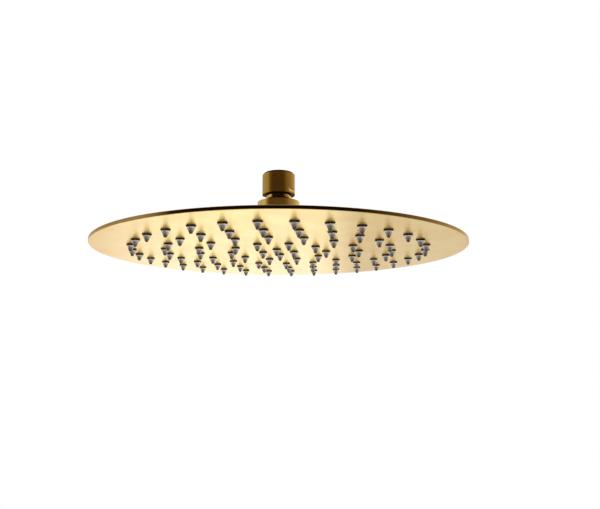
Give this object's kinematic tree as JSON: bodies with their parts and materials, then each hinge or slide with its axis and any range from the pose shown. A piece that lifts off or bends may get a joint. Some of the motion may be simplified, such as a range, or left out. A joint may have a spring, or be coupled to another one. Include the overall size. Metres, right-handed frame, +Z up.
{
  "type": "rain shower head",
  "caption": "Slim round overhead rain shower head: brushed gold sheet body, rings of soft spray nozzles underneath and a swivelling ball-joint inlet on top.",
  "frame": {"origin": "centre of the inlet thread's mouth, on top of the connector", "axes": "+Z up along the inlet's axis into the pipe, so the spray leaves along -Z; +X is the ray on which every ring has a nozzle"},
  "size_m": [0.3, 0.3, 0.072],
  "materials": {
    "gold_sheet": "stainless sheet, brushed, gold coated",
    "gold_brass": "turned, brushed, gold coated",
    "grey_silicone": "soft matt silicone",
    "black_rubber": "matt moulded rubber",
    "white_plastic": "moulded",
    "screen_steel": "punched sheet"
  },
  "bodies": {
    "connector": {"ball_connector": "gold_brass", "filter_screen": "screen_steel", "inlet_washer": "black_rubber", "flow_regulator": "white_plastic"},
    "seal": {"ball_seal": "black_rubber"},
    "slip_ring": {"ball_ring": "white_plastic"},
    "head": {"ball_cap": "gold_brass", "inlet_boss": "gold_brass", "top_plate": "gold_sheet", "face_plate": "gold_sheet", "nozzle_ring_1": "grey_silicone", "nozzle_ring_2": "grey_silicone", "nozzle_ring_3": "grey_silicone", "nozzle_ring_4": "grey_silicone", "nozzle_ring_5": "grey_silicone"}
  },
  "joints": [
    {"name": "tilt_front_back", "type": "hinge", "parent": "connector", "child": "seal", "pos_m": [0, 0, -0.0364], "axis": [1, 0, 0], "range_deg": [-10, 10]},
    {"name": "tilt_side", "type": "hinge", "parent": "seal", "child": "slip_ring", "pos_m": [0, 0, -0.0364], "axis": [0, 1, 0], "range_deg": [-10, 10]},
    {"name": "swivel", "type": "hinge", "parent": "slip_ring", "child": "head", "pos_m": [0, 0, -0.0364], "axis": [0, 0, 1], "continuous": true}
  ]
}
